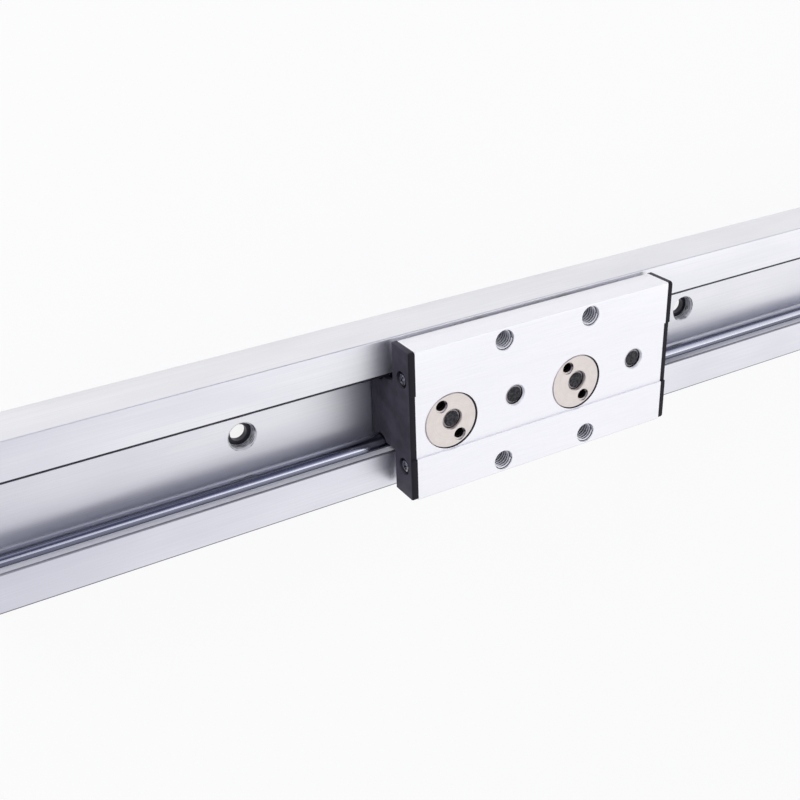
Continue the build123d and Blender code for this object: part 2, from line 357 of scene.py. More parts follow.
@dataclass(frozen=True)
class ExtrudedAluminium(Finish):
    """Clear-anodised aluminium extrusion: a soft white metal with fine die lines along X.

    Attributes:
        tones: sRGB colours between the die lines and on them, with their places in the ramp.
        dark: Colour of the painted shade lines at the sharp channel lips and of the painted shade in
            the bolt holes' bottoms.
        rough: Lowest and highest roughness of the anodised layer.
        upper_lip: Where the painted shade line of the channel's upper lip lies along Y, in
            millimetres.
        lower_lip: The same for the fainter painted shade line of the lower lip.
        outer_edge: The same for the faint painted shade line along the lower outer edge.
        shaded_flange: Where the lower flange, painted greyer than the upper one as shade, lies along
            Y.
        worn: Tones of that flange, darker as painted shade.
        lit_side: Where the upper outer side, painted brighter than the rest as light, lies along Y.
        lit_tones: Tones of that side, lighter as painted light.
        lip_level: Height just below the lips.
        brow: Distance from the middle of the channel walls above the shafts, low and high.
        brow_levels: Lowest and highest level of those walls, which are matt.
        hole_x: Distance of the bolt holes from the middle.
        hole_reach: Radius round a bolt hole's axis that the painted shade at its bottom covers.
        mouth_reach: Radius round it that the turned wall and its chamfer cover.
        ledge: Height just above the counterbores' ledges.
        ring_size: Width of the turning marks on the counterbores' walls.
        turned: Tones of those marks and of the bare metal between them.
        matt_metal: Metallic value of those walls and of the walls above the shafts.
        lower_lip_share: Strength of the lower lip's painted shade line.
        outer_edge_share: Strength of the outer edge's painted shade line.
        back_level: Height just above the rail's back.
        line_size: Spacing of the die lines.
        cloud_size: Size of the slow clouds in the anodised layer.
        relief: Depth of the die lines.
    """

    tones: Tones = ((0.12, "dfdfe5"), (0.4, "e9e9ed"))
    dark: str = "3c3c42"
    rough: tuple[float, float] = (0.37, 0.48)
    upper_lip: tuple[float, float] = (15.8, 17.0)
    lower_lip: tuple[float, float] = (-16.5, -15.8)
    outer_edge: tuple[float, float] = (-31.2, -30.35)
    shaded_flange: tuple[float, float] = (-31.2, -16.0)
    worn: Tones = ((0.12, "d4d4dc"), (0.4, "dedee5"))
    lit_side: tuple[float, float] = (30.9, 31.1)
    lit_tones: Tones = ((0.12, "e6e6eb"), (0.4, "efeff3"))
    lip_level: float = 20.3
    brow: tuple[float, float] = (15.9, 16.1)
    brow_levels: tuple[float, float] = (17.1, 20.3)
    hole_x: float = 105.75
    hole_reach: float = 5.05
    mouth_reach: float = 5.75
    ledge: float = 2.6
    ring_size: float = 0.4
    turned: Tones = ((0.38, "5c5c62"), (0.5, "fafafc"))
    matt_metal: float = 0.2
    lower_lip_share: float = 0.5
    outer_edge_share: float = 0.8
    back_level: float = 0.05
    line_size: float = 0.35
    cloud_size: float = 14.0
    relief: float = 0.004

    def shader(self, tree: Tree, place: Socket) -> dict:
        """Build the surface inputs: die lines run the length of the profile.

        Args:
            tree: The material's node tree.
            place: Object coordinates, in metres.

        Returns:
            Inputs of the Principled shader by name.
        """
        grooves = stretched_noise(tree, place, self.line_size, (0.004, 1.0, 1.0))
        clouds = stretched_noise(tree, place, self.cloud_size, (0.3, 1.0, 1.0))
        marks = both(tree, grooves, clouds)
        bright = ramp(tree, marks, self.tones)
        across, level = coordinate(tree, place, "Y"), coordinate(tree, place, "Z")
        # Painted shade: dark lines on the top faces along the channel lips and the lower outer edge.
        lines = either(tree, within(tree, across, *self.upper_lip),
                       both(tree, within(tree, across, *self.lower_lip), self.lower_lip_share),
                       both(tree, within(tree, across, *self.outer_edge), self.outer_edge_share))
        tops = within(tree, level, self.lip_level, self.lip_level + MARK_PAST)
        lips = both(tree, lines, tops)
        # Painted shade: the lower flange's top is greyer than the upper one.
        flange = both(tree, within(tree, across, *self.shaded_flange), tops)
        # Painted light: the upper outer side is brighter than the rest.
        side = within(tree, across, *self.lit_side)
        apart = add_node(tree, "ShaderNodeMath", {"operation": "ABSOLUTE"}, {0: across})
        brows = both(tree, within(tree, apart.outputs["Value"], *self.brow),
                     within(tree, level, *self.brow_levels))
        for mark, tones in ((flange, self.worn), (side, self.lit_tones)):
            bright = blend(tree, mark, bright, ramp(tree, marks, tones))
        ends = (-self.hole_x, self.hole_x)
        holes = either(tree, *(near_axis(tree, place, x, 0.0, self.hole_reach) for x in ends))
        # Painted shade in the bolt holes below the counterbores' ledges.
        bottoms = both(tree, holes, within(tree, level, self.back_level, self.ledge))
        mouths = either(tree, *(near_axis(tree, place, x, 0.0, self.mouth_reach) for x in ends))
        walls = both(tree, mouths, within(tree, level, self.ledge, self.lip_level))
        rings = stretched_noise(tree, place, self.ring_size, (0.12, 0.12, 1.0), 3.0)
        turned = ramp(tree, rings, self.turned)
        cut = blend(tree, walls, bright, turned)
        return {
            "Base Color": blend(tree, either(tree, lips, bottoms), cut, linear(self.dark)),
            "Metallic": span(tree, either(tree, walls, brows), 1.0, self.matt_metal),
            "Roughness": span(tree, grooves, *self.rough),
            "Normal": bump(tree, grooves, self.relief),
        }


@dataclass(frozen=True)
class MilledAluminium(Finish):
    """Fine-milled, clear-anodised plate: nearly white, with a fine grain along X.

    Attributes:
        tones: sRGB colours of the milling streaks and between them, with their places in the ramp.
        bore: Colour of the painted shade on the walls of the bores and in the seams.
        bore_levels: Lowest and highest bore wall that is painted dark as shade, in millimetres.
        bore_reach: Distance from the middle that the bores stay within, along Y.
        outer_edge: Where the faint painted shade line of the lower outer edge lies along Y.
        seams: Centre and radius of the painted shade rings that show beside the eccentric discs.
        seam_level: Height just below the face that the painted shade rings lie in.
        land_level: Height just below the outer lands' faces.
        edge_share: Strength of the outer edge's painted shade line.
        metal: Metallic value of the anodised surface.
        rough: Lowest and highest roughness.
        line_size: Spacing of the milling streaks.
        grain_size: Size of the bead-blast grain.
        grain_share: How much of the colour's pattern is grain.
        relief: Depth of both.
    """

    tones: Tones = ((0.3, "f0f0f5"), (0.6, "f9f8fb"))
    bore: str = "2e2e33"
    bore_levels: tuple[float, float] = (24.0, 34.9)
    bore_reach: float = 29.9
    outer_edge: tuple[float, float] = (-30.8, -30.2)
    seams: tuple[tuple[float, float, float], ...] = ()
    seam_level: float = 35.2
    land_level: float = 36.0
    edge_share: float = 0.35
    metal: float = 0.6
    rough: tuple[float, float] = (0.39, 0.51)
    line_size: float = 0.25
    grain_size: float = 0.09
    grain_share: float = 0.4
    relief: float = 0.003

    def shader(self, tree: Tree, place: Socket) -> dict:
        """Build the surface inputs: milling streaks over a fine bead-blast grain.

        Args:
            tree: The material's node tree.
            place: Object coordinates, in metres.

        Returns:
            Inputs of the Principled shader by name.
        """
        lines = stretched_noise(tree, place, self.line_size, (0.02, 1.0, 1.0), 3.0)
        grain = stretched_noise(tree, place, self.grain_size, detail=1.0)
        marks = add_node(tree, "ShaderNodeMix", {"data_type": "FLOAT"},
                         {"Factor": self.grain_share, "A": lines, "B": grain}).outputs["Result"]
        bright = ramp(tree, marks, self.tones)
        across, level = coordinate(tree, place, "Y"), coordinate(tree, place, "Z")
        # Painted shade on the bore walls.
        bores = both(tree, within(tree, level, *self.bore_levels),
                     within(tree, across, -self.bore_reach, self.bore_reach))
        # Painted shade line along the lower outer edge.
        edge = both(tree, within(tree, across, *self.outer_edge),
                    within(tree, level, self.land_level, self.land_level + MARK_PAST))
        # Painted shade rings beside the eccentric discs, only on the face.
        top = within(tree, level, self.seam_level, self.seam_level + MARK_PAST)
        marked = either(tree, bores, both(tree, edge, self.edge_share),
                        *(both(tree, near_axis(tree, place, *seam), top) for seam in self.seams))
        return {
            "Base Color": blend(tree, marked, bright, linear(self.bore)),
            "Metallic": self.metal,
            "Roughness": span(tree, marks, *self.rough),
            "Normal": bump(tree, marks, self.relief),
        }


@dataclass(frozen=True)
class TappedAluminium(Finish):
    """Freshly tapped thread: bright crests over roots painted dark as shade, so that its ridges stand
    out.

    Attributes:
        axis: X and Y of the hole's axis, in millimetres.
        crest: Radius that the bright part of the ridges lies within.
        tones: sRGB colours of the tool's marks and of the crests, with their places in the ramp.
        root: Colour of the painted shade in the roots.
        metal: Metallic value, low because a thread's light is scattered.
        rough: Lowest and highest roughness.
        mark_size: Size of the tool's marks.
        relief: Depth of those marks.
    """

    axis: tuple[float, float] = (0.0, 0.0)
    crest: float = 3.72
    tones: Tones = ((0.3, "dcdce2"), (0.6, "fafafc"))
    root: str = "1e1e22"
    metal: float = 0.2
    rough: tuple[float, float] = (0.24, 0.36)
    mark_size: float = 0.3
    relief: float = 0.003

    def shader(self, tree: Tree, place: Socket) -> dict:
        """Build the surface inputs: the distance from the axis parts crests and roots.

        Args:
            tree: The material's node tree.
            place: Object coordinates, in metres.

        Returns:
            Inputs of the Principled shader by name.
        """
        marks = stretched_noise(tree, place, self.mark_size, (1.0, 1.0, 0.3))
        metal = ramp(tree, marks, self.tones)
        # Painted shade: the roots outside the crest radius are dark.
        crests = near_axis(tree, place, *self.axis, self.crest)
        return {
            "Base Color": blend(tree, crests, linear(self.root), metal),
            "Metallic": self.metal,
            "Roughness": span(tree, marks, *self.rough),
            "Normal": bump(tree, marks, self.relief),
        }


@dataclass(frozen=True)
class GroundChromeSteel(Finish):
    """Hardened, chromed and ground shaft: a near mirror with faint grinding rings round it.

    Attributes:
        tones: sRGB colours between the grinding rings and on them, with their places in the ramp.
        oil: Colour of the painted dark reflections.
        dark_reflection_bands: Lowest and highest level and strength of each painted dark reflection
            band, in millimetres: over the side where the rollers run, a stronger band along its upper
            rim, and a narrow band at the upper seam.
        rough: Lowest and highest roughness.
        ring_size: Width of the grinding rings.
        relief: Depth of the grinding rings.
    """

    tones: Tones = ((0.3, "c8cad6"), (0.7, "d6d8e2"))
    oil: str = "4a4d60"
    dark_reflection_bands: tuple[tuple[float, float, float], ...] = ((10.7, 15.5, 0.35), (14.3, 15.5, 0.75),
                                                     (16.7, 17.2, 0.85))
    rough: tuple[float, float] = (0.09, 0.18)
    ring_size: float = 0.12
    relief: float = 0.0008

    def shader(self, tree: Tree, place: Socket) -> dict:
        """Build the surface inputs: grinding marks follow the circumference.

        Args:
            tree: The material's node tree.
            place: Object coordinates, in metres.

        Returns:
            Inputs of the Principled shader by name.
        """
        rings = stretched_noise(tree, place, self.ring_size, (1.0, 0.03, 0.03))
        bright = ramp(tree, rings, self.tones)
        level = coordinate(tree, place, "Z")
        # Painted reflection: bands at set heights darken the shaft where it mirrors the dark channel.
        reflected_dark = either(tree, *(both(tree, within(tree, level, low, high), share)
                               for low, high, share in self.dark_reflection_bands))
        return {
            "Base Color": blend(tree, reflected_dark, bright, linear(self.oil)),
            "Metallic": 1.0,
            "Roughness": span(tree, rings, *self.rough),
            "Normal": bump(tree, rings, self.relief),
        }


@dataclass(frozen=True)
class TurnedNickelSteel(Finish):
    """Turned and nickel-plated steel: a warm pale grey face with faint lathe rings.

    Attributes:
        centre: Axis of the lathe rings in millimetres, X and Y.
        face: Height of the visible face.
        hole_depths: Depths below the face between which the piece fades to painted shade, in its
            drilled holes and all below.
        hole: Colour of the painted shade in the holes and below them.
        tones: sRGB colours of the plating, the darker first, with their places in the ramp.
        rough: Lowest and highest roughness.
        ring_size: Width of the lathe rings.
        cloud_size: Size of the clouds in the plating.
        relief: Depth of the lathe rings.
    """

    centre: tuple[float, float] = (0.0, 0.0)
    face: float = 35.75
    hole_depths: tuple[float, float] = (0.95, 1.35)
    hole: str = "2b2522"
    tones: Tones = ((0.3, "cdc5c1"), (0.65, "dad3d0"))
    rough: tuple[float, float] = (0.3, 0.44)
    ring_size: float = 0.3
    cloud_size: float = 3.0
    relief: float = 0.002

    def shader(self, tree: Tree, place: Socket) -> dict:
        """Build the surface inputs: rings are centred on the piece's own axis.

        Args:
            tree: The material's node tree.
            place: Object coordinates, in metres.

        Returns:
            Inputs of the Principled shader by name.
        """
        x, y = self.centre
        centred = add_node(tree, "ShaderNodeMapping",
                           inputs={"Vector": place, "Location": (-x * MM, -y * MM, 0.0)})
        flat = add_node(tree, "ShaderNodeVectorMath", {"operation": "MULTIPLY"},
                        {0: centred.outputs["Vector"], 1: (1.0, 1.0, 0.0)})
        radius = add_node(tree, "ShaderNodeVectorMath", {"operation": "LENGTH"},
                          {0: flat.outputs["Vector"]}).outputs["Value"]
        rings = add_node(tree, "ShaderNodeTexNoise", {"noise_dimensions": "1D"},
                         {"W": radius, "Scale": per_mm(self.ring_size), "Detail": 1.0}).outputs["Fac"]
        clouds = stretched_noise(tree, place, self.cloud_size)
        marks = add_node(tree, "ShaderNodeMix", {"data_type": "FLOAT"},
                         {"Factor": 0.5, "A": rings, "B": clouds}).outputs["Result"]
        height = coordinate(tree, place, "Z")
        # Painted shade: everything deeper than the face's depths fades to dark.
        depth = add_node(tree, "ShaderNodeMapRange",
                         inputs={"Value": height, "From Min": (self.face - self.hole_depths[1]) * MM,
                                 "From Max": (self.face - self.hole_depths[0]) * MM}).outputs["Result"]
        plated = ramp(tree, marks, self.tones)
        return {
            "Base Color": blend(tree, depth, linear(self.hole), plated),
            "Metallic": 1.0,
            "Roughness": span(tree, marks, *self.rough),
            "Normal": bump(tree, rings, self.relief),
        }


@dataclass(frozen=True)
class MouldedNylon(Finish):
    """Black injection-moulded nylon: matte, with a fine spark-eroded grain from the tool.

    Attributes:
        tones: sRGB colours of its clouds and between them, with their places in the ramp.
        rim: Colour of the painted shade along the top strip, near black.
        rim_level: Height that the painted shade strip starts at, in millimetres.
        shine: Level of its dielectric highlight.
        rough: Lowest and highest roughness.
        grain_size: Size of the grain.
        cloud_size: Size of the clouds in the colour.
        relief: Depth of the grain.
    """

    tones: Tones = ((0.35, "3d3b44"), (0.65, "4a4751"))
    rim: str = "201f25"
    rim_level: float = 35.5
    shine: float = 0.2
    rough: tuple[float, float] = (0.62, 0.78)
    grain_size: float = 0.22
    cloud_size: float = 6.0
    relief: float = 0.012

    def shader(self, tree: Tree, place: Socket) -> dict:
        """Build the surface inputs: grain in the relief, slow clouds in the colour.

        Args:
            tree: The material's node tree.
            place: Object coordinates, in metres.

        Returns:
            Inputs of the Principled shader by name.
        """
        grain = stretched_noise(tree, place, self.grain_size, detail=3.0)
        clouds = stretched_noise(tree, place, self.cloud_size)
        grey = ramp(tree, clouds, self.tones)
        level = coordinate(tree, place, "Z")
        # Painted shade: the top strip above rim_level is near black.
        rims = within(tree, level, self.rim_level, self.rim_level + MARK_PAST)
        return {
            "Base Color": blend(tree, rims, grey, linear(self.rim)),
            "Roughness": span(tree, grain, *self.rough),
            "Specular IOR Level": self.shine,
            "Normal": bump(tree, grain, self.relief),
        }


@dataclass(frozen=True)
class BlackOxideSteel(Finish):
    """Black-oxide screws: dark metal with worn, slightly brighter patches.

    Attributes:
        tones: sRGB colours of the whole oxide and of the worn patches, with their places in the
            ramp.
        recess: Where the painted shade on the heads' outer rings, in their cross recesses and behind
            their seats lies along X, in millimetres, if there is any.
        recess_shade: Colour of that painted shade.
        end: X and Y of the axis and radius of an end face whose chamfer is bare, if there is one.
        end_level: Height just below that chamfer.
        bare: Colour of the bare chamfer.
        bare_metal: Metallic value of the bare chamfer.
        rough: Roughness of the whole oxide and of the worn patches.
        patch_size: Size of the worn patches.
        relief: Depth of the oxide.
    """

    tones: Tones = ((0.4, "29292c"), (0.7, "4c4c50"))
    recess: tuple[float, float] | None = None
    recess_shade: str = "0c0c0e"
    end: tuple[float, float, float] | None = None
    end_level: float = 33.6
    bare: str = "d8d2d0"
    bare_metal: float = 0.2
    rough: tuple[float, float] = (0.42, 0.28)
    patch_size: float = 0.9
    relief: float = 0.004

    def shader(self, tree: Tree, place: Socket) -> dict:
        """Build the surface inputs: patches where the oxide has rubbed thin.

        Args:
            tree: The material's node tree.
            place: Object coordinates, in metres.

        Returns:
            Inputs of the Principled shader by name.
        """
        patches = stretched_noise(tree, place, self.patch_size, detail=3.0)
        colour = ramp(tree, patches, self.tones)
        # Painted shade: a band along X is made near black.
        if self.recess:
            recessed = within(tree, coordinate(tree, place, "X"), *self.recess)
            colour = blend(tree, recessed, colour, linear(self.recess_shade))
        metal: Socket | float = 1.0
        if self.end:
            tip = within(tree, coordinate(tree, place, "Z"), self.end_level,
                         self.end_level + MARK_PAST)
            turned = both(tree, tip, span(tree, near_axis(tree, place, *self.end), 1.0, 0.0))
            colour = blend(tree, turned, colour, linear(self.bare))
            metal = span(tree, turned, 1.0, self.bare_metal)
        return {
            "Base Color": colour,
            "Metallic": metal,
            "Roughness": span(tree, patches, *self.rough),
            "Normal": bump(tree, patches, self.relief),
        }


@dataclass(frozen=True)
class GroundBearingSteel(Finish):
    """Ground bearing steel: cool grey, smooth, with a faint cloud of oil and handling.

    Attributes:
        tones: sRGB colours of the clouds and between them, with their places in the ramp.
        rough: Lowest and highest roughness.
        cloud_size: Size of the clouds in millimetres.
        grain_size: Size of the grinding grain.
        relief: Depth of the grain.
    """

    tones: Tones = ((0.35, "b4b4b9"), (0.65, "c9c9cc"))
    rough: tuple[float, float] = (0.2, 0.32)
    cloud_size: float = 2.5
    grain_size: float = 0.1
    relief: float = 0.001

    def shader(self, tree: Tree, place: Socket) -> dict:
        """Build the surface inputs: clouds in the colour, fine grain in the relief.

        Args:
            tree: The material's node tree.
            place: Object coordinates, in metres.

        Returns:
            Inputs of the Principled shader by name.
        """
        clouds = stretched_noise(tree, place, self.cloud_size)
        grain = stretched_noise(tree, place, self.grain_size, (1.0, 1.0, 0.2))
        return {
            "Base Color": ramp(tree, clouds, self.tones),
            "Metallic": 1.0,
            "Roughness": span(tree, clouds, *self.rough),
            "Normal": bump(tree, grain, self.relief),
        }


EXTRUSION = ExtrudedAluminium("clear_anodised_extrusion")
MILLED = MilledAluminium("fine_milled_aluminium")
CHROME = GroundChromeSteel("ground_chrome_steel")
NYLON = MouldedNylon("moulded_black_nylon")
OXIDE = BlackOxideSteel("black_oxide_steel")
WORN_OXIDE = BlackOxideSteel("worn_oxide_steel", tones=((0.4, "6a6a70"), (0.7, "d0d0d6")),
                             rough=(0.35, 0.21))
BEARING = GroundBearingSteel("ground_bearing_steel")
SHIELD = GroundBearingSteel("rolled_shield_steel", tones=((0.35, "9a9a9f"), (0.65, "b0b0b4")),
                            rough=(0.3, 0.42))
BRASS = GroundBearingSteel("pressed_brass", tones=((0.35, "b98f45"), (0.65, "d9b56c")),
                           rough=(0.28, 0.4))


# Mesh helpers


@dataclass(frozen=True)
class Box:
    """A CAD node's box at rest, in millimetres.

    Attributes:
        low: Its lowest corner.
        high: Its highest corner.
    """

    low: Vector
    high: Vector

    @property
    def middle(self) -> Vector:
        """Centre of the box."""
        return (self.low + self.high) / 2

    @property
    def size(self) -> Vector:
        """Edge lengths of the box."""
        return self.high - self.low

    @property
    def axis(self) -> tuple[float, float]:
        """X and Y of the upright axis through its middle, to the micrometre."""
        return round(self.middle.x, 3), round(self.middle.y, 3)


def node_box(node: str) -> Box:
    """Read a CAD node's box from the frame, in millimetres."""
    low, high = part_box(node)
    return Box(low / MM, high / MM)


def lathe(profile: Sequence[tuple[float, float]], segments: int = 96) -> Mesh:
    """Turn a closed profile round Z.

    Args:
        profile: Radius and height of each corner, in millimetres; it is closed on itself.
        segments: Steps of the full turn.

    Returns:
        The turned solid, with its poles merged.
    """
    bm = bmesh.new()
    verts = [bm.verts.new((radius, 0.0, height)) for radius, height in profile]
    edges = [bm.edges.new(pair) for pair in zip(verts, verts[1:] + verts[:1])
             if not (pair[0].co.x == 0 and pair[1].co.x == 0)]
    bmesh.ops.spin(bm, geom=verts + edges, cent=(0, 0, 0), axis=(0, 0, 1), angle=2 * math.pi,
                   steps=segments, use_merge=True)
    bmesh.ops.remove_doubles(bm, verts=bm.verts, dist=MERGED)
    bmesh.ops.recalc_face_normals(bm, faces=bm.faces)
    return bm


def prism(outline: Sequence[tuple[float, float]], start: float, end: float) -> Mesh:
    """Extrude an outline of Y and Z points along X.

    Args:
        outline: Corners in order round the section, in millimetres.
        start: X of the first face.
        end: X of the last face.

    Returns:
        The closed prism.
    """
    bm = bmesh.new()
    face = bm.faces.new([bm.verts.new((start, y, z)) for y, z in outline])
    grown = bmesh.ops.extrude_face_region(bm, geom=[face], use_keep_orig=True)
    far = [item for item in grown["geom"] if isinstance(item, bmesh.types.BMVert)]
    bmesh.ops.translate(bm, verts=far, vec=(end - start, 0, 0))
    bmesh.ops.recalc_face_normals(bm, faces=bm.faces)
    return bm


def arc(centre: tuple[float, float], radius: float, start: float, end: float,
        steps: int) -> list[tuple[float, float]]:
    """Points of an arc, both ends included.

    Args:
        centre: Centre of the arc.
        radius: Its radius in millimetres.
        start: First angle in degrees.
        end: Last angle in degrees.
        steps: Number of chords.

    Returns:
        The points in order.
    """
    angles = [math.radians(start + (end - start) * step / steps) for step in range(steps + 1)]
    return [(centre[0] + radius * math.cos(angle), centre[1] + radius * math.sin(angle))
            for angle in angles]


def round_edges(bm: Mesh, wanted: Callable[[bmesh.types.BMEdge], bool],
                size: float, segments: int = 3) -> None:
    """Bevel the edges that pass a test.

    Args:
        bm: The mesh to shape.
        wanted: Says whether an edge is rounded.
        size: Width of the bevel in millimetres.
        segments: Steps of the round.
    """
    edges = [edge for edge in bm.edges if wanted(edge)]
    bmesh.ops.bevel(bm, geom=edges, offset=size, offset_type="OFFSET", affect="EDGES",
                    segments=segments, profile=0.5, material=-1)


def along(edge: bmesh.types.BMEdge, axis: int) -> bool:
    """Say whether an edge runs along an axis (0 for X, 1 for Y, 2 for Z)."""
    step = edge.verts[1].co - edge.verts[0].co
    return step.length > 0 and abs(step[axis]) > 0.999 * step.length


def near(first: float, second: float) -> bool:
    """Say whether two lengths in millimetres are the same."""
    return abs(first - second) < SAME


def hole_cutter(radius: float, low: float, high: float, mouth: float, segments: int = 96) -> Mesh:
    """Turn the cutter of a plain through hole round Z.

    Args:
        radius: Radius of the hole in millimetres.
        low: Level of its lower end.
        high: Level of its upper mouth.
        mouth: Chamfer at that mouth.
        segments: Steps of the full turn.

    Returns:
        The cutter, which reaches past both levels.
    """
    top = high + CUT_PAST
    return lathe([(0, low - CUT_PAST), (radius, low - CUT_PAST), (radius, high - mouth),
                  (radius + mouth + CUT_PAST, top), (0, top)], segments)


def moved(bm: Mesh, *steps: Matrix) -> Mesh:
    """Place a mesh.

    Args:
        bm: The mesh to move.
        steps: Placements, of which the last one is applied first.

    Returns:
        The same mesh.
    """
    place = Matrix.Identity(4)
    for step in steps:
        place = place @ step
    bmesh.ops.transform(bm, matrix=place, verts=bm.verts)
    return bm


def shift(x: float, y: float, z: float) -> Matrix:
    """A move in millimetres."""
    return Matrix.Translation((x, y, z))


def turn(degrees: float, axis: str) -> Matrix:
    """A turn about an axis through the origin."""
    return Matrix.Rotation(math.radians(degrees), 4, axis)


def joined(parts: Iterable[Mesh]) -> Mesh:
    """Join separate meshes into one.

    Args:
        parts: The meshes, which are freed.

    Returns:
        The joined mesh.
    """
    whole = bmesh.new()
    for part in parts:
        mesh = bpy.data.meshes.new("joined")
        part.to_mesh(mesh)
        part.free()
        whole.from_mesh(mesh)
        bpy.data.meshes.remove(mesh)
    return whole


def loose_object(bm: Mesh, name: str) -> bpy.types.Object:
    """Put a mesh in a new object of the scene.

    Args:
        bm: The mesh, which is freed.
        name: The object's name.

    Returns:
        The new object.
    """
    mesh = bpy.data.meshes.new(name)
    bm.to_mesh(mesh)
    bm.free()
    made = bpy.data.objects.new(name, mesh)
    bpy.context.scene.collection.objects.link(made)
    return made


def carved(bm: Mesh, cutters: Sequence[Mesh]) -> Mesh:
    """Cut bodies out of a mesh, one after another.

    Args:
        bm: The closed mesh to cut.
        cutters: Closed meshes to take away; they are freed.

    Returns:
        The cut mesh.
    """
    target = loose_object(bm, "carved")
    tools = [loose_object(cutter, "cutter") for cutter in cutters]
    for tool in tools:
        cut = target.modifiers.new("cut", "BOOLEAN")
        cut.operation = "DIFFERENCE"
        cut.solver = "EXACT"
        cut.object = tool
    graph = bpy.context.evaluated_depsgraph_get()
    result = bmesh.new()
    result.from_mesh(target.evaluated_get(graph).to_mesh())
    for made in [target] + tools:
        mesh = made.data
        bpy.data.objects.remove(made)
        bpy.data.meshes.remove(mesh)
    bmesh.ops.remove_doubles(result, verts=result.verts, dist=MERGED_AFTER_CUT)
    return result


def thread_ridge(radius: float, pitch: float, low: float, turns: int) -> Mesh:
    """Wind the ridge of an internal thread round Z.

    Args:
        radius: Radius of the plain hole that the ridge stands in, in millimetres.
        pitch: Rise of one turn.
        low: Height where the ridge starts.
        turns: Number of turns.

    Returns:
        The closed ridge, its ends capped.
    """
    steps, root, crest = 40, radius + RIDGE_ROOT, radius - RIDGE_HEIGHT * pitch
    bm = bmesh.new()
    corners = [(root, -RIDGE_FOOT), (crest, -RIDGE_TIP), (crest, RIDGE_TIP), (root, RIDGE_FOOT)]
    verts = [bm.verts.new((reach, 0, low + rise * pitch)) for reach, rise in corners]
    edges = [bm.edges.new(pair) for pair in zip(verts, verts[1:] + verts[:1])]
    bm.faces.new(verts)
    spun = bmesh.ops.spin(bm, geom=verts + edges, cent=(0, 0, 0), axis=(0, 0, 1),
                          dvec=(0, 0, pitch / steps), angle=2 * math.pi * turns,
                          steps=steps * turns, use_merge=False)
    bm.faces.new([item for item in spun["geom_last"] if isinstance(item, bmesh.types.BMVert)])
    bmesh.ops.recalc_face_normals(bm, faces=bm.faces)
    return bm


def finish_piece(bm: Mesh, name: str, finish: Finish, body: str,
                 replaces: Sequence[str] = ()) -> None:
    """Turn a mesh in millimetres into a finished piece on a body.

    Args:
        bm: The closed mesh; it is freed.
        name: The piece's name.
        finish: Its surface finish.
        body: The CAD body that it rides on.
        replaces: CAD nodes that it stands for.
    """
    bmesh.ops.scale(bm, vec=(MM, MM, MM), verts=bm.verts)
    made = loose_object(bm, name)
    mesh = made.data
    mesh.polygons.foreach_set("use_smooth", [True] * len(mesh.polygons))
    mesh.set_sharp_from_angle(angle=SMOOTH_ANGLE)
    mesh.materials.append(finish.material())
    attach(made, body)
    if replaces:
        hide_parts(*replaces)
    LOG.info("%s: %d faces on %s", name, len(mesh.polygons), body)


# Sub-assemblies


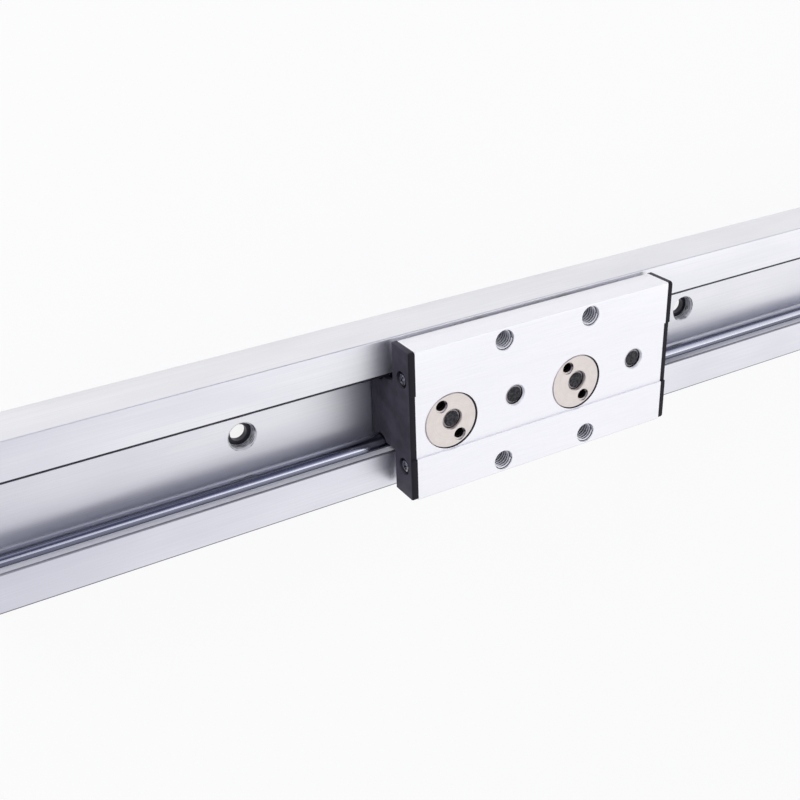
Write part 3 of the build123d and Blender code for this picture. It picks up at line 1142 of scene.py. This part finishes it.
@dataclass
class Rail:
    """Channel rail with its two inlaid shafts and counterbored bolt holes.

    Attributes:
        channel_width: Clear width between the channel walls, in millimetres.
        floor: Thickness of the channel floor.
        edge_radius: Round on the long outer edges.
        floor_radius: Round where the walls meet the floor.
        hole_pitch: Distance between the bolt holes.
        bolt_hole: Diameter of the through holes.
        counterbore: Diameter of the counterbores.
        counterbore_depth: Their depth from the channel floor.
        mouth: Width of the chamfer at their mouths.
        seat_gap: Radial gap between a shaft and its seat.
        shaft_chamfer: Chamfer on the shafts' ends.
    """

    channel_width: float = 32.0
    floor: float = 6.3
    edge_radius: float = 0.6
    floor_radius: float = 0.8
    hole_pitch: float = 211.5
    bolt_hole: float = 6.6
    counterbore: float = 10.2
    counterbore_depth: float = 3.8
    mouth: float = 0.65
    seat_gap: float = 0.02
    shaft_chamfer: float = 0.5

    def outline(self, box: Box, shaft: Box) -> list[tuple[float, float]]:
        """Section of the rail, with a round seat in each channel wall.

        Args:
            box: The extrusion's box.
            shaft: The upper shaft's box.

        Returns:
            Y and Z points in order.
        """
        wall = self.channel_width / 2
        centre_y, centre_z = shaft.middle.y, shaft.middle.z
        radius = shaft.size.z / 2 + self.seat_gap
        opening = math.degrees(math.acos((centre_y - wall) / radius))
        seat = arc((centre_y, centre_z), radius, 180 + opening, 540 - opening, 40)
        half = box.size.y / 2
        upper = [(half, box.low.z), (half, box.high.z), (wall, box.high.z)]
        inner = [(y, z) for y, z in reversed(seat)] + [(wall, self.floor)]
        right = upper + inner
        return right + [(-y, z) for y, z in reversed(right)]

    def bolt_cutter(self) -> Mesh:
        """Turn the stepped cutter of a bolt hole.

        Returns:
            The cutter, round Z at X = 0.
        """
        ledge = self.floor - self.counterbore_depth
        bore, bolt = self.counterbore / 2, self.bolt_hole / 2
        top = self.floor + CUT_PAST
        return lathe([(0, -CUT_PAST), (bolt, -CUT_PAST), (bolt, ledge), (bore, ledge),
                      (bore, self.floor - self.mouth), (bore + self.mouth + CUT_PAST, top), (0, top)])

    def build_extrusion(self) -> None:
        """Build the channel with its rounded edges and bolt holes."""
        box, shaft = node_box("rail_extrusion"), node_box("guide_shaft_upper")
        bm = prism(self.outline(box, shaft), box.low.x, box.high.x)
        half, wall = box.size.y / 2, self.channel_width / 2

        def outer(edge: bmesh.types.BMEdge) -> bool:
            """Say whether an edge is one of the long outer edges or lips.

            Args:
                edge: The edge.

            Returns:
                True if it is one.
            """
            across, level = abs(edge.verts[0].co.y), edge.verts[0].co.z
            at_lip = near(across, wall) and near(level, box.high.z)
            return along(edge, 0) and (near(across, half) or at_lip)

        def corner(edge: bmesh.types.BMEdge) -> bool:
            """Say whether an edge lies where a wall meets the floor.

            Args:
                edge: The edge.

            Returns:
                True if it does.
            """
            across, level = abs(edge.verts[0].co.y), edge.verts[0].co.z
            return along(edge, 0) and near(across, wall) and near(level, self.floor)

        round_edges(bm, outer, self.edge_radius)
        round_edges(bm, corner, self.floor_radius)
        cutters = [moved(self.bolt_cutter(), shift(side.value * self.hole_pitch / 2, 0, 0))
                   for side in Side]
        bm = carved(bm, cutters)
        finish_piece(bm, "rail_channel", EXTRUSION, "rail", ["rail_extrusion"])

    def build_shafts(self) -> None:
        """Build both guide shafts as smooth turned bars."""
        for node in ("guide_shaft_upper", "guide_shaft_lower"):
            box = node_box(node)
            radius, half = box.size.z / 2, box.size.x / 2
            cut = self.shaft_chamfer
            bar = lathe([(0, -half), (radius - cut, -half), (radius, cut - half),
                         (radius, half - cut), (radius - cut, half), (0, half)], 128)
            moved(bar, shift(*box.middle), turn(90, "Y"))
            finish_piece(bar, f"{node}_bar", CHROME, "rail", [node])

    def build(self) -> None:
        """Build every piece of the rail."""
        self.build_extrusion()
        self.build_shafts()


@dataclass(frozen=True)
class CapScrew:
    """Crowned, cross-recess screw that holds an end cap, along Z with its seat at Z = 0.

    Attributes:
        head: Radius of the head, in millimetres.
        crown: Radius of its crown.
        crown_depth: Depth of the crown's centre below the seat.
        crown_start: Angle of the crown's edge in degrees.
        shank: Radius of the shank.
        length: Length of the shank.
        slot: Length, width and height of each bar of the cross recess.
        slot_level: Height of the bars' centre.
        slot_taper: Share of its size that a bar keeps at the bottom.
    """

    head: float = 3.0
    crown: float = 6.8
    crown_depth: float = 5.3
    crown_start: float = 64.0
    shank: float = 1.48
    length: float = 8.8
    slot: tuple[float, float, float] = (3.4, 0.62, 1.8)
    slot_level: float = 1.1
    slot_taper: float = 0.45

    def mesh(self) -> Mesh:
        """Turn the screw and cut its cross recess.

        Returns:
            The closed screw.
        """
        crown = arc((0, -self.crown_depth), self.crown, self.crown_start, 90, 8)
        body = lathe([(0, -self.length), (self.shank, -self.length), (self.shank, 0),
                      (self.head, 0)] + crown, 64)
        bars = []
        for angle in (0, 90):
            bar = bmesh.new()
            bmesh.ops.create_cube(bar, size=1.0)
            moved(bar, turn(angle, "Z"), shift(0, 0, self.slot_level),
                  Matrix.Diagonal((*self.slot, 1)))
            for vert in bar.verts:
                if vert.co.z < self.slot_level:
                    vert.co.x *= self.slot_taper
                    vert.co.y *= self.slot_taper
            bars.append(bar)
        return carved(body, bars)


@dataclass
class Carriage:
    """Recessed plate with its threads and bores, and the two end caps with their screws.

    Attributes:
        recess_width: Width of the shallow band along the plate.
        recess_depth: Its depth.
        edge_chamfer: Chamfer on the plate's long edges.
        thread: Outer diameter of the corner threads and axle threads.
        thread_pitch: Axial pitch of the corner threads.
        spacing: Distances between the corner threads, along X and Y.
        bore_gap: Radial gap between a disc and its bore.
        disc_thickness: Height of the disc's rim.
        rim_break: Chamfer at the mouths of holes.
        axle_mouth: Chamfer at the mouths of the two plain axle threads.
        seam_shift: How far the painted shade ring round a disc lies off its centre, along X and Y.
        seam_width: Mean width of that painted shade ring outside the bore.
        hub: Diameter of the discs' hubs.
        stem: Half the width of the end caps' stems.
        stem_gap: Gap between a stem and the shafts.
        cap_screw_drop: Depth of the cap screws' axes below the plate's face.
        cap_screw_spacing: Distance between them.
        cap_hole: Diameter of their holes in the caps.
        cap_seat: Diameter of the seats of their heads.
        cap_seat_depth: Depth of those seats.
        cap_screw_turns: Turn of each screw's cross recess in degrees.
        screw_rim: Height above its seat below which a head is painted black as shade.
        screw_reach: Length of a screw behind its seat that is painted black as shade.
        cap_corner: Round on the caps' upper corners.
        cap_edge: Round on their outer faces' edges.
    """

    recess_width: float = 26.2
    recess_depth: float = 0.65
    edge_chamfer: float = 0.5
    thread: float = 8.0
    thread_pitch: float = 1.25
    spacing: tuple[float, float] = (40.0, 51.0)
    bore_gap: float = 0.08
    disc_thickness: float = 5.0
    rim_break: float = 0.2
    axle_mouth: float = 0.5
    seam_shift: tuple[float, float] = (0.4, -0.15)
    seam_width: float = 0.14
    hub: float = 14.0
    stem: float = 14.0
    stem_gap: float = 0.5
    cap_screw_drop: float = 6.0
    cap_screw_spacing: float = 36.0
    cap_hole: float = 3.2
    cap_seat: float = 6.8
    cap_seat_depth: float = 1.6
    cap_screw_turns: tuple[float, float] = (24.0, 61.0)
    screw_rim: float = 1.15
    screw_reach: float = 9.0
    cap_corner: float = 1.4
    cap_edge: float = 0.4

    def plate_outline(self, box: Box) -> list[tuple[float, float]]:
        """Section of the plate with its recessed band.

        Args:
            box: The plate's box.

        Returns:
            Y and Z points in order.
        """
        half, step = box.size.y / 2, self.recess_width / 2
        sunk = box.high.z - self.recess_depth
        return [(-half, box.low.z), (half, box.low.z), (half, box.high.z), (step, box.high.z),
                (step, sunk), (-step, sunk), (-step, box.high.z), (-half, box.high.z)]

    def disc_bore(self, index: int, low: float, level: float) -> Mesh:
        """Stepped cutter for the bore of one eccentric disc.

        Args:
            index: The disc's number.
            low: Underside of the plate.
            level: Face of the recessed band.

        Returns:
            The cutter, in place.
        """
        box = node_box(f"eccentric_disc_{index}")
        rim = box.size.x / 2 + self.bore_gap
        hub = self.hub / 2 + self.bore_gap
        seat, edge = level - self.disc_thickness, self.rim_break
        cutter = lathe([(0, low - CUT_PAST), (hub, low - CUT_PAST), (hub, seat), (rim, seat),
                        (rim, level - edge), (rim + edge + CUT_PAST, level + CUT_PAST),
                        (0, level + CUT_PAST)], 128)
        return moved(cutter, shift(box.middle.x, box.middle.y, 0))

    def thread_places(self, box: Box) -> list[tuple[float, float]]:
        """Place the four corner threads.

        Args:
            box: The plate's box.

        Returns:
            X and Y of each thread's axis.
        """
        return [(box.middle.x + side_x.value * self.spacing[0] / 2,
                 box.middle.y + side_y.value * self.spacing[1] / 2)
                for side_x in Side for side_y in Side]

    def build_plate(self) -> None:
        """Build the plate with its recess, holes and bores."""
        box = node_box("carriage_plate")
        level = box.high.z - self.recess_depth
        bm = prism(self.plate_outline(box), box.low.x, box.high.x)
        half = box.size.y / 2
        round_edges(bm, lambda edge: along(edge, 0) and near(abs(edge.verts[0].co.y), half),
                    self.edge_chamfer, 2)
        thread = self.thread / 2
        cutters = [moved(hole_cutter(thread, box.low.z, box.high.z, self.rim_break), shift(x, y, 0))
                   for x, y in self.thread_places(box)]
        for index in FIXED_ROLLERS:
            axle = node_box(f"roller_{index}_axle_screw").middle
            hole = hole_cutter(thread, box.low.z, level, self.axle_mouth)
            cutters.append(moved(hole, shift(axle.x, axle.y, 0)))
        cutters += [self.disc_bore(index, box.low.z, level) for index in ECCENTRIC_ROLLERS]
        discs = [node_box(f"eccentric_disc_{index}") for index in ECCENTRIC_ROLLERS]
        # Painted shade rings beside the discs, set off-centre so that one side is wider.
        seams = tuple((disc.middle.x + self.seam_shift[0], disc.middle.y + self.seam_shift[1],
                       disc.size.x / 2 + self.bore_gap + self.seam_width) for disc in discs)
        finish_piece(carved(bm, cutters), "carriage_body", replace(MILLED, seams=seams),
                     "carriage", ["carriage_plate"])

    def build_threads(self) -> None:
        """Build the helical ridges inside the four corner holes."""
        box = node_box("carriage_plate")
        pitch = self.thread_pitch
        turns = int((box.size.z - pitch) / pitch)
        for number, (x, y) in enumerate(self.thread_places(box), 1):
            ridge = thread_ridge(self.thread / 2, pitch, box.low.z + pitch / 2, turns)
            tapped = TappedAluminium(f"tapped_aluminium_{number}", axis=(round(x, 3), round(y, 3)))
            finish_piece(moved(ridge, shift(x, y, 0)), f"corner_thread_{number}", tapped,
                         "carriage")

    def cap_outline(self, box: Box, plate: Box) -> list[tuple[float, float]]:
        """Outline of an end cap: the plate's outline with a stem between the shafts.

        Args:
            box: The cap's box.
            plate: The plate's box.

        Returns:
            Y and Z points in order.
        """
        shaft = node_box("guide_shaft_upper")
        half, step, corner = plate.size.y / 2, self.recess_width / 2, self.cap_corner
        stem, clear = self.stem, shaft.size.z / 2 + self.stem_gap
        centre = (shaft.middle.y, shaft.middle.z)
        opening = math.degrees(math.acos((centre[0] - stem) / clear))
        notch = arc(centre, clear, 180 - opening, 180 + opening, 24)
        top, low = plate.high.z, plate.low.z
        right = [(stem, box.low.z)] + list(reversed(notch)) + [(stem, low), (half, low)]
        right += arc((half - corner, top - corner), corner, 0, 90, 6)
        right += [(step, top), (step, top - self.recess_depth)]
        return right + [(-y, z) for y, z in reversed(right)]

    def build_cap(self, side: Side, name: str) -> None:
        """Build one end cap.

        Args:
            side: The plate's end that it closes.
            name: The side's name in the CAD nodes.
        """
        box, plate = node_box(f"end_cap_{name}"), node_box("carriage_plate")
        outer = box.high.x if side is Side.HIGH else box.low.x
        bm = prism(self.cap_outline(box, plate), box.low.x, box.high.x)
        round_edges(bm, lambda edge: all(near(vert.co.x, outer) for vert in edge.verts),
                    self.cap_edge, 2)
        cutters = []
        hole, head, inner = self.cap_hole / 2, self.cap_seat / 2, -box.size.x - CUT_PAST
        for across in Side:
            seat = lathe([(0, inner), (hole, inner), (hole, -self.cap_seat_depth),
                          (head, -self.cap_seat_depth), (head, CUT_PAST), (0, CUT_PAST)], 64)
            place = shift(outer, across.value * self.cap_screw_spacing / 2,
                          plate.high.z - self.cap_screw_drop)
            cutters.append(moved(seat, place, turn(90 * side.value, "Y")))
        finish_piece(carved(bm, cutters), f"cap_{name}", NYLON, "carriage",
                     [f"end_cap_{name}"])

    def build_cap_screws(self, side: Side, name: str) -> None:
        """Build the two screws of one end cap.

        Args:
            side: The plate's end.
            name: The side's name in the CAD nodes.
        """
        box, plate = node_box(f"end_cap_{name}"), node_box("carriage_plate")
        inner = plate.high.x if side is Side.HIGH else plate.low.x
        seat = inner + side.value * (box.size.x - self.cap_seat_depth)
        screws = []
        for across, twist in zip(Side, self.cap_screw_turns):
            place = shift(seat, across.value * self.cap_screw_spacing / 2,
                          plate.high.z - self.cap_screw_drop)
            screws.append(moved(CapScrew().mesh(), place, turn(90 * side.value, "Y"),
                                turn(twist, "Z")))
        # Painted shade: each head below the rim height, its cross recess and the shank behind the seat
        # are black.
        levels = sorted((seat - side.value * self.screw_reach, seat + side.value * self.screw_rim))
        steel = replace(WORN_OXIDE, name=f"worn_oxide_steel_{name}", recess=tuple(levels))
        finish_piece(joined(screws), f"cap_screws_{name}", steel, "carriage",
                     [f"end_cap_screws_{name}"])

    def build(self) -> None:
        """Build every piece of the plate and its caps."""
        self.build_plate()
        self.build_threads()
        for side, name in ((Side.LOW, "left"), (Side.HIGH, "right")):
            self.build_cap(side, name)
            self.build_cap_screws(side, name)


@dataclass
class EccentricDisc:
    """Stepped steel disc with an off-centre thread and two pin-spanner holes.

    Attributes:
        index: Number of the roller that it carries.
        thickness: Height of its rim.
        hub: Diameter of the hub below the rim.
        edge: Chamfer on the visible edge.
        pin_hole: Diameter of the spanner holes.
        pin_radius: Their distance from the disc's axis.
        pin_angle: Direction of the first one in degrees.
        pin_depth: Their depth.
        pin_tip: Depth of the drill's cone below them.
        pin_mouth: Chamfer at their mouths.
        pin_pitch: Rise of one turn of their threads.
        pin_turns: Turns of their threads.
        rim_gap: Gap between the rim and its seat in the plate.
        thread: Diameter of the thread that takes the axle screw.
        thread_mouth: Chamfer at that thread's mouth.
    """

    index: int
    thickness: float = 5.0
    hub: float = 14.0
    edge: float = 0.35
    pin_hole: float = 4.9
    pin_radius: float = 7.8
    pin_angle: float = 120.0
    pin_depth: float = 3.5
    pin_tip: float = 0.9
    pin_mouth: float = 0.15
    pin_pitch: float = 0.8
    pin_turns: int = 3
    rim_gap: float = 0.02
    thread: float = 8.0
    thread_mouth: float = 0.3

    def pin_places(self, box: Box) -> list[Matrix]:
        """Place the two pin-spanner holes.

        Args:
            box: The disc's box.

        Returns:
            A move to each hole's axis.
        """
        angles = [math.radians(self.pin_angle + half_turn) for half_turn in (0, 180)]
        return [shift(box.middle.x + self.pin_radius * math.cos(angle),
                      box.middle.y + self.pin_radius * math.sin(angle), 0) for angle in angles]

    def pin_cutter(self, top: float) -> Mesh:
        """Turn the cutter of a pin-spanner hole.

        Args:
            top: Level of the disc's face.

        Returns:
            The cutter, round Z at X = 0.
        """
        radius, floor = self.pin_hole / 2, top - self.pin_depth
        return lathe([(0, floor - self.pin_tip), (radius, floor), (radius, top - self.pin_mouth),
                      (radius + self.pin_mouth + CUT_PAST, top + CUT_PAST), (0, top + CUT_PAST)], 64)

    def build(self) -> None:
        """Build the disc and the ridges in its pin-spanner holes."""
        box = node_box(f"eccentric_disc_{self.index}")
        axle = node_box(f"roller_{self.index}_axle_screw")
        radius, top, hub = box.size.x / 2, box.high.z, self.hub / 2
        under = top - self.thickness + self.rim_gap
        body = lathe([(0, box.low.z), (hub, box.low.z), (hub, under), (radius, under),
                      (radius, top - self.edge), (radius - self.edge, top), (0, top)], 128)
        moved(body, shift(box.middle.x, box.middle.y, 0))
        thread = hole_cutter(self.thread / 2, box.low.z, top, self.thread_mouth)
        places = self.pin_places(box)
        cutters = [moved(thread, shift(axle.middle.x, axle.middle.y, 0))]
        cutters += [moved(self.pin_cutter(top), place) for place in places]
        steel = TurnedNickelSteel(f"turned_nickel_steel_{self.index}", centre=box.axis)
        finish_piece(carved(body, cutters), f"adjuster_disc_{self.index}", steel,
                     f"eccentric_{self.index}", [f"eccentric_disc_{self.index}"])
        start = top - self.pin_depth + self.pin_pitch / 2
        ridges = [moved(thread_ridge(self.pin_hole / 2, self.pin_pitch, start, self.pin_turns), place)
                  for place in places]
        finish_piece(joined(ridges), f"pin_hole_threads_{self.index}", steel,
                     f"eccentric_{self.index}")


@dataclass
class TrackRoller:
    """One grooved roller with its shields, inner ring, spacer and axle screw.

    Attributes:
        index: Number of the roller from the left end.
        groove: Radius of the groove that takes the shaft.
        groove_root: Radius of the roller at the bottom of the groove.
        edge: Chamfer on the roller's rims.
        bore: Bore of the outer ring.
        ring: Outer diameter of the inner ring.
        axle: Diameter of the axle screw.
        ring_bore: Bore of the inner ring.
        ring_edge: Chamfer on the inner ring.
        shield: Thickness of the shields.
        shield_gap: Gap between a shield and the inner ring.
        shield_rim: Width of a shield's outer flat.
        shield_slope: Width of the slopes beside its sunk ring.
        shield_sink: Depth of that ring.
        shield_brim: Width of its inner flat.
        shield_drop: Depth of that flat.
        neck: Diameter of the spacer.
        flange_height: Height of the flange under a disc.
        head_height: Height of the axle screw's head.
        head_edge: Chamfer on the head.
        socket_width: Width of its hexagon socket across the flats.
        socket_depth: Depth of the socket.
        end_chamfer: Chamfer on the screw's visible end.
        ball_count: Number of balls.
        ball_circle: Radius of the circle that the balls lie on.
        cage_wall: Thickness of the cage.
        pocket_gap: Gap between a ball and its pocket.
        pocket_depth: Depth of the cut that makes a pocket.
    """

    index: int
    groove: float = 4.03
    groove_root: float = 11.22
    edge: float = 0.5
    bore: float = 18.0
    ring: float = 12.8
    axle: float = 7.96
    ring_bore: float = 8.0
    ring_edge: float = 0.3
    shield: float = 0.8
    shield_gap: float = 0.1
    shield_rim: float = 0.5
    shield_slope: float = 0.3
    shield_sink: float = 0.25
    shield_brim: float = 0.4
    shield_drop: float = 0.05
    neck: float = 12.0
    flange_height: float = 1.8
    head_height: float = 1.1
    head_edge: float = 0.2
    socket_width: float = 5.0
    socket_depth: float = 4.0
    end_chamfer: float = 0.8
    ball_count: int = 9
    ball_circle: float = 7.7
    cage_wall: float = 1.04
    pocket_gap: float = 0.05
    pocket_depth: float = 3.0

    @property
    def holder(self) -> str:
        """Body that carries the axle."""
        return f"eccentric_{self.index}" if self.index in ECCENTRIC_ROLLERS else "carriage"

    def node(self, part: str) -> str:
        """Name of one of this roller's CAD nodes."""
        return f"roller_{self.index}_{part}"

    def build_ring(self) -> None:
        """Build the grooved outer ring."""
        box = node_box(self.node("outer_ring"))
        radius, half, edge = box.size.x / 2, box.size.z / 2, self.edge
        centre = self.groove_root + self.groove
        lip = math.degrees(math.acos((centre - radius) / self.groove))
        groove = arc((centre, 0), self.groove, 180 + lip, 180 - lip, 12)
        profile = [(self.bore / 2, -half), (radius - edge, -half), (radius, edge - half)]
        profile += groove + [(radius, half - edge), (radius - edge, half), (self.bore / 2, half)]
        ring = moved(lathe(profile), shift(*box.middle))
        finish_piece(ring, f"track_roller_{self.index}", BEARING,
                     f"roller_{self.index}", [self.node("outer_ring")])

    def build_shields(self) -> None:
        """Build the two pressed shields with their rolled lips."""
        box = node_box(self.node("shields"))
        rings = []
        inner, outer = self.ring / 2 + self.shield_gap, self.bore / 2
        rim, brim, thick = outer - self.shield_rim, inner + self.shield_brim, self.shield
        sunk, low = thick - self.shield_sink, thick - self.shield_drop
        profile = [(inner, 0), (outer, 0), (outer, thick), (rim, thick),
                   (rim - self.shield_slope, sunk), (brim + self.shield_slope, sunk), (brim, low),
                   (inner, low)]
        for side in Side:
            level = box.middle.z + side.value * (box.size.z / 2 - thick)
            place = shift(box.middle.x, box.middle.y, level)
            rings.append(moved(lathe(profile), place, Matrix.Diagonal((1, 1, side.value, 1))))
        whole = joined(rings)
        bmesh.ops.recalc_face_normals(whole, faces=whole.faces)
        finish_piece(whole, f"roller_shields_{self.index}", SHIELD,
                     f"roller_{self.index}", [self.node("shields")])

    def build_hub(self) -> None:
        """Build the inner ring and the spacer above it."""
        box = node_box(self.node("inner_ring"))
        bore, edge = self.ring_bore / 2, self.ring_edge
        radius, half = box.size.x / 2, box.size.z / 2
        ring = lathe([(bore, edge - half), (bore + edge, -half), (radius - edge, -half),
                      (radius, edge - half), (radius, half - edge), (radius - edge, half),
                      (bore + edge, half), (bore, half - edge)])
        finish_piece(moved(ring, shift(*box.middle)), f"inner_ring_{self.index}", BEARING,
                     self.holder, [self.node("inner_ring")])
        box = node_box(self.node("spacer"))
        neck, height, flange = self.neck / 2, box.size.z, box.size.x / 2
        profile = [(bore, 0), (neck, 0), (neck, height)]
        if flange > neck + edge:
            under = height - self.flange_height
            profile = [(bore, 0), (neck, 0), (neck, under), (flange, under), (flange, height)]
        spacer = lathe(profile + [(bore, height)])
        steel = TurnedNickelSteel(f"turned_spacer_{self.index}", centre=box.axis)
        finish_piece(moved(spacer, shift(box.middle.x, box.middle.y, box.low.z)),
                     f"spacer_{self.index}", steel, self.holder, [self.node("spacer")])

    def build_balls(self) -> None:
        """Build the balls and the pocketed cage between both rings."""
        box, cage_box = node_box(self.node("balls")), node_box(self.node("cage"))
        place = shift(*node_box(self.node("outer_ring")).middle)
        radius, body = box.size.z / 2, f"ball_cage_{self.index}"
        circle, wall, half = self.ball_circle, self.cage_wall / 2, cage_box.size.z / 2
        reach = radius + self.pocket_gap
        balls, pockets = [], []
        for number in range(self.ball_count):
            spin = turn(360 * number / self.ball_count, "Z")
            ball = bmesh.new()
            bmesh.ops.create_uvsphere(ball, u_segments=32, v_segments=16, radius=radius)
            balls.append(moved(ball, place, spin, shift(circle, 0, 0)))
            pocket = bmesh.new()
            bmesh.ops.create_cone(pocket, cap_ends=True, segments=32, radius1=reach, radius2=reach,
                                  depth=self.pocket_depth)
            pockets.append(moved(pocket, spin, shift(circle, 0, 0), turn(90, "Y")))
        finish_piece(joined(balls), f"ball_set_{self.index}", BEARING, body,
                     [self.node("balls")])
        ring = lathe([(circle - wall, -half), (circle + wall, -half), (circle + wall, half),
                      (circle - wall, half)])
        finish_piece(moved(carved(ring, pockets), place), f"ball_cage_ring_{self.index}", BRASS,
                     body, [self.node("cage")])

    def build_screw(self) -> None:
        """Build the axle screw with its hexagon socket below and chamfered end above."""
        box = node_box(self.node("axle_screw"))
        shank, head, height = self.axle / 2, box.size.x / 2, box.size.z
        edge, cut = self.head_edge, self.end_chamfer
        body = lathe([(0, 0), (head - edge, 0), (head, edge), (head, self.head_height),
                      (shank, self.head_height), (shank, height - cut), (shank - cut, height),
                      (0, height)])
        socket = bmesh.new()
        across = self.socket_width / math.sqrt(3)
        bmesh.ops.create_cone(socket, cap_ends=True, segments=6, radius1=across, radius2=across,
                              depth=2 * self.socket_depth)
        screw = carved(body, [socket])
        steel = replace(OXIDE, name=f"black_oxide_axle_{self.index}",
                        end=(box.middle.x, box.middle.y, shank - cut))
        finish_piece(moved(screw, shift(box.middle.x, box.middle.y, box.low.z)),
                     f"axle_screw_{self.index}", steel, self.holder,
                     [self.node("axle_screw")])

    def build(self) -> None:
        """Build every piece of the roller."""
        self.build_ring()
        self.build_shields()
        self.build_hub()
        self.build_balls()
        self.build_screw()


@dataclass(frozen=True)
class Panel:
    """Soft rectangular lamp that faces the carriage.

    Attributes:
        name: The lamp's name.
        place: Its position in metres.
        size: Its width and height in metres.
        power: Its power in watts.
    """

    name: str
    place: tuple[float, float, float]
    size: tuple[float, float]
    power: float

    def light(self, colour: str) -> None:
        """Hang the lamp in the scene.

        Args:
            colour: Its sRGB colour.
        """
        data = bpy.data.lights.new(self.name, "AREA")
        data.shape = "RECTANGLE"
        data.size, data.size_y = self.size
        data.energy = self.power
        data.color = linear(colour)[:3]
        lamp = bpy.data.objects.new(self.name, data)
        face = (-Vector(self.place)).to_track_quat("-Z", "Y").to_matrix().to_4x4()
        lamp.matrix_world = Matrix.Translation(self.place) @ face
        bpy.context.scene.collection.objects.link(lamp)


@dataclass
class Studio:
    """Pale floor, soft lamps, world and the camera at the photograph's view.

    Attributes:
        eye: Camera position in millimetres.
        target: Point that it looks at.
        roll: Turn of the picture about the view axis in degrees.
        lens: Focal length in millimetres.
        sensor: Width of the sensor.
        near_clip: Nearest distance that the camera sees, in metres.
        floor_size: Width of the paper on the floor, in metres.
        floor_drop: Depth of the paper below the rail's back, in metres.
        white: Colour of the paper, the lamps and the visible background.
        paper_glow: Share of the paper that shines by itself as the camera sees it.
        soft_source: Direction of the room's brightest part.
        room: Colours of the room, from opposite that direction to the direction itself.
        room_level: Strength of the room's light.
        panels: The lamps.
    """

    eye: tuple[float, float, float] = (-238.2, 203.0, 358.6)
    target: tuple[float, float, float] = (-56.49, 13.70, 36.4)
    roll: float = 126.906
    lens: float = 52.478
    sensor: float = 36.0
    near_clip: float = 0.01
    floor_size: float = 6.0
    floor_drop: float = 0.0002
    white: str = "ffffff"
    paper_glow: float = 0.83
    soft_source: tuple[float, float, float] = (0.82, -0.38, 0.43)
    room: Tones = ((0.0, "ececf0"), (0.3, "d4d5dc"), (0.45, "8c8fa2"), (0.54, "34374e"),
                   (0.62, "54576e"), (0.7, "a8aabc"), (0.78, "eeeef3"), (0.86, "ffffff"))
    room_level: float = 1.16
    panels: tuple[Panel, ...] = (Panel("key_panel", (0.15, 0.5, 1.3), (2.4, 0.75), 2.8),
                                 Panel("side_panel", (-0.7, 1.1, 0.3), (0.8, 0.5), 4.2))

    def build_camera(self) -> None:
        """Place the camera and make it the scene's own."""
        data = bpy.data.cameras.new("photo_view")
        data.sensor_width = self.sensor
        data.lens = self.lens
        data.clip_start = self.near_clip
        camera = bpy.data.objects.new("photo_view", data)
        eye, target = Vector(self.eye) * MM, Vector(self.target) * MM
        look = (target - eye).to_track_quat("-Z", "Y").to_matrix().to_4x4()
        camera.matrix_world = (Matrix.Translation(eye) @ look
                               @ Matrix.Rotation(math.radians(self.roll), 4, "Z"))
        bpy.context.scene.collection.objects.link(camera)
        bpy.context.scene.camera = camera

    def build_floor(self) -> None:
        """Lay a white sweep under the rail that keeps a soft shadow."""
        bm = bmesh.new()
        bmesh.ops.create_grid(bm, x_segments=1, y_segments=1, size=self.floor_size / 2)
        bmesh.ops.translate(bm, verts=bm.verts, vec=(0, 0, -self.floor_drop))
        floor = loose_object(bm, "floor")
        material = bpy.data.materials.new("studio_paper")
        material.use_nodes = True
        tree = material.node_tree
        tree.nodes.clear()
        paper = add_node(tree, "ShaderNodeBsdfDiffuse", inputs={"Color": linear(self.white)})
        glow = add_node(tree, "ShaderNodeEmission",
                        inputs={"Color": linear(self.white), "Strength": 1.0})
        path = add_node(tree, "ShaderNodeLightPath")
        seen = either(tree, both(tree, path.outputs["Is Camera Ray"], self.paper_glow),
                      path.outputs["Is Glossy Ray"])
        mixed = add_node(tree, "ShaderNodeMixShader",
                         inputs={0: seen, 1: paper.outputs["BSDF"], 2: glow.outputs["Emission"]})
        add_node(tree, "ShaderNodeOutputMaterial", inputs={"Surface": mixed.outputs["Shader"]})
        floor.data.materials.append(material)

    def build_world(self) -> None:
        """Light the scene with one broad soft source in a darker room."""
        world = bpy.data.worlds.new("studio")
        world.use_nodes = True
        tree = world.node_tree
        tree.nodes.clear()
        way = add_node(tree, "ShaderNodeTexCoord").outputs["Object"]
        facing = add_node(tree, "ShaderNodeVectorMath", {"operation": "DOT_PRODUCT"},
                          {0: way, 1: self.soft_source}).outputs["Value"]
        share = add_node(tree, "ShaderNodeMapRange",
                         inputs={"Value": facing, "From Min": -1.0}).outputs["Result"]
        lit = add_node(tree, "ShaderNodeBackground",
                       inputs={"Color": ramp(tree, share, self.room), "Strength": self.room_level})
        white = add_node(tree, "ShaderNodeBackground",
                         inputs={"Color": linear(self.white), "Strength": 1.0})
        path = add_node(tree, "ShaderNodeLightPath")
        mixed = add_node(tree, "ShaderNodeMixShader",
                         inputs={0: path.outputs["Is Camera Ray"], 1: lit.outputs["Background"],
                                 2: white.outputs["Background"]})
        add_node(tree, "ShaderNodeOutputWorld", inputs={"Surface": mixed.outputs["Shader"]})
        bpy.context.scene.world = world

    def build(self) -> None:
        """Build the floor, the lights and the camera."""
        self.build_camera()
        self.build_floor()
        self.build_world()
        for panel in self.panels:
            panel.light(self.white)
        bpy.context.scene.view_settings.view_transform = "Standard"


def main() -> None:
    """Load the frame and build every piece round it, with the studio."""
    logging.basicConfig(level=logging.INFO, format="%(name)s: %(message)s")
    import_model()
    Rail().build()
    Carriage().build()
    for index in ECCENTRIC_ROLLERS:
        EccentricDisc(index).build()
    for index in sorted(ECCENTRIC_ROLLERS + FIXED_ROLLERS):
        TrackRoller(index).build()
    Studio().build()


if __name__ == "__main__":
    main()
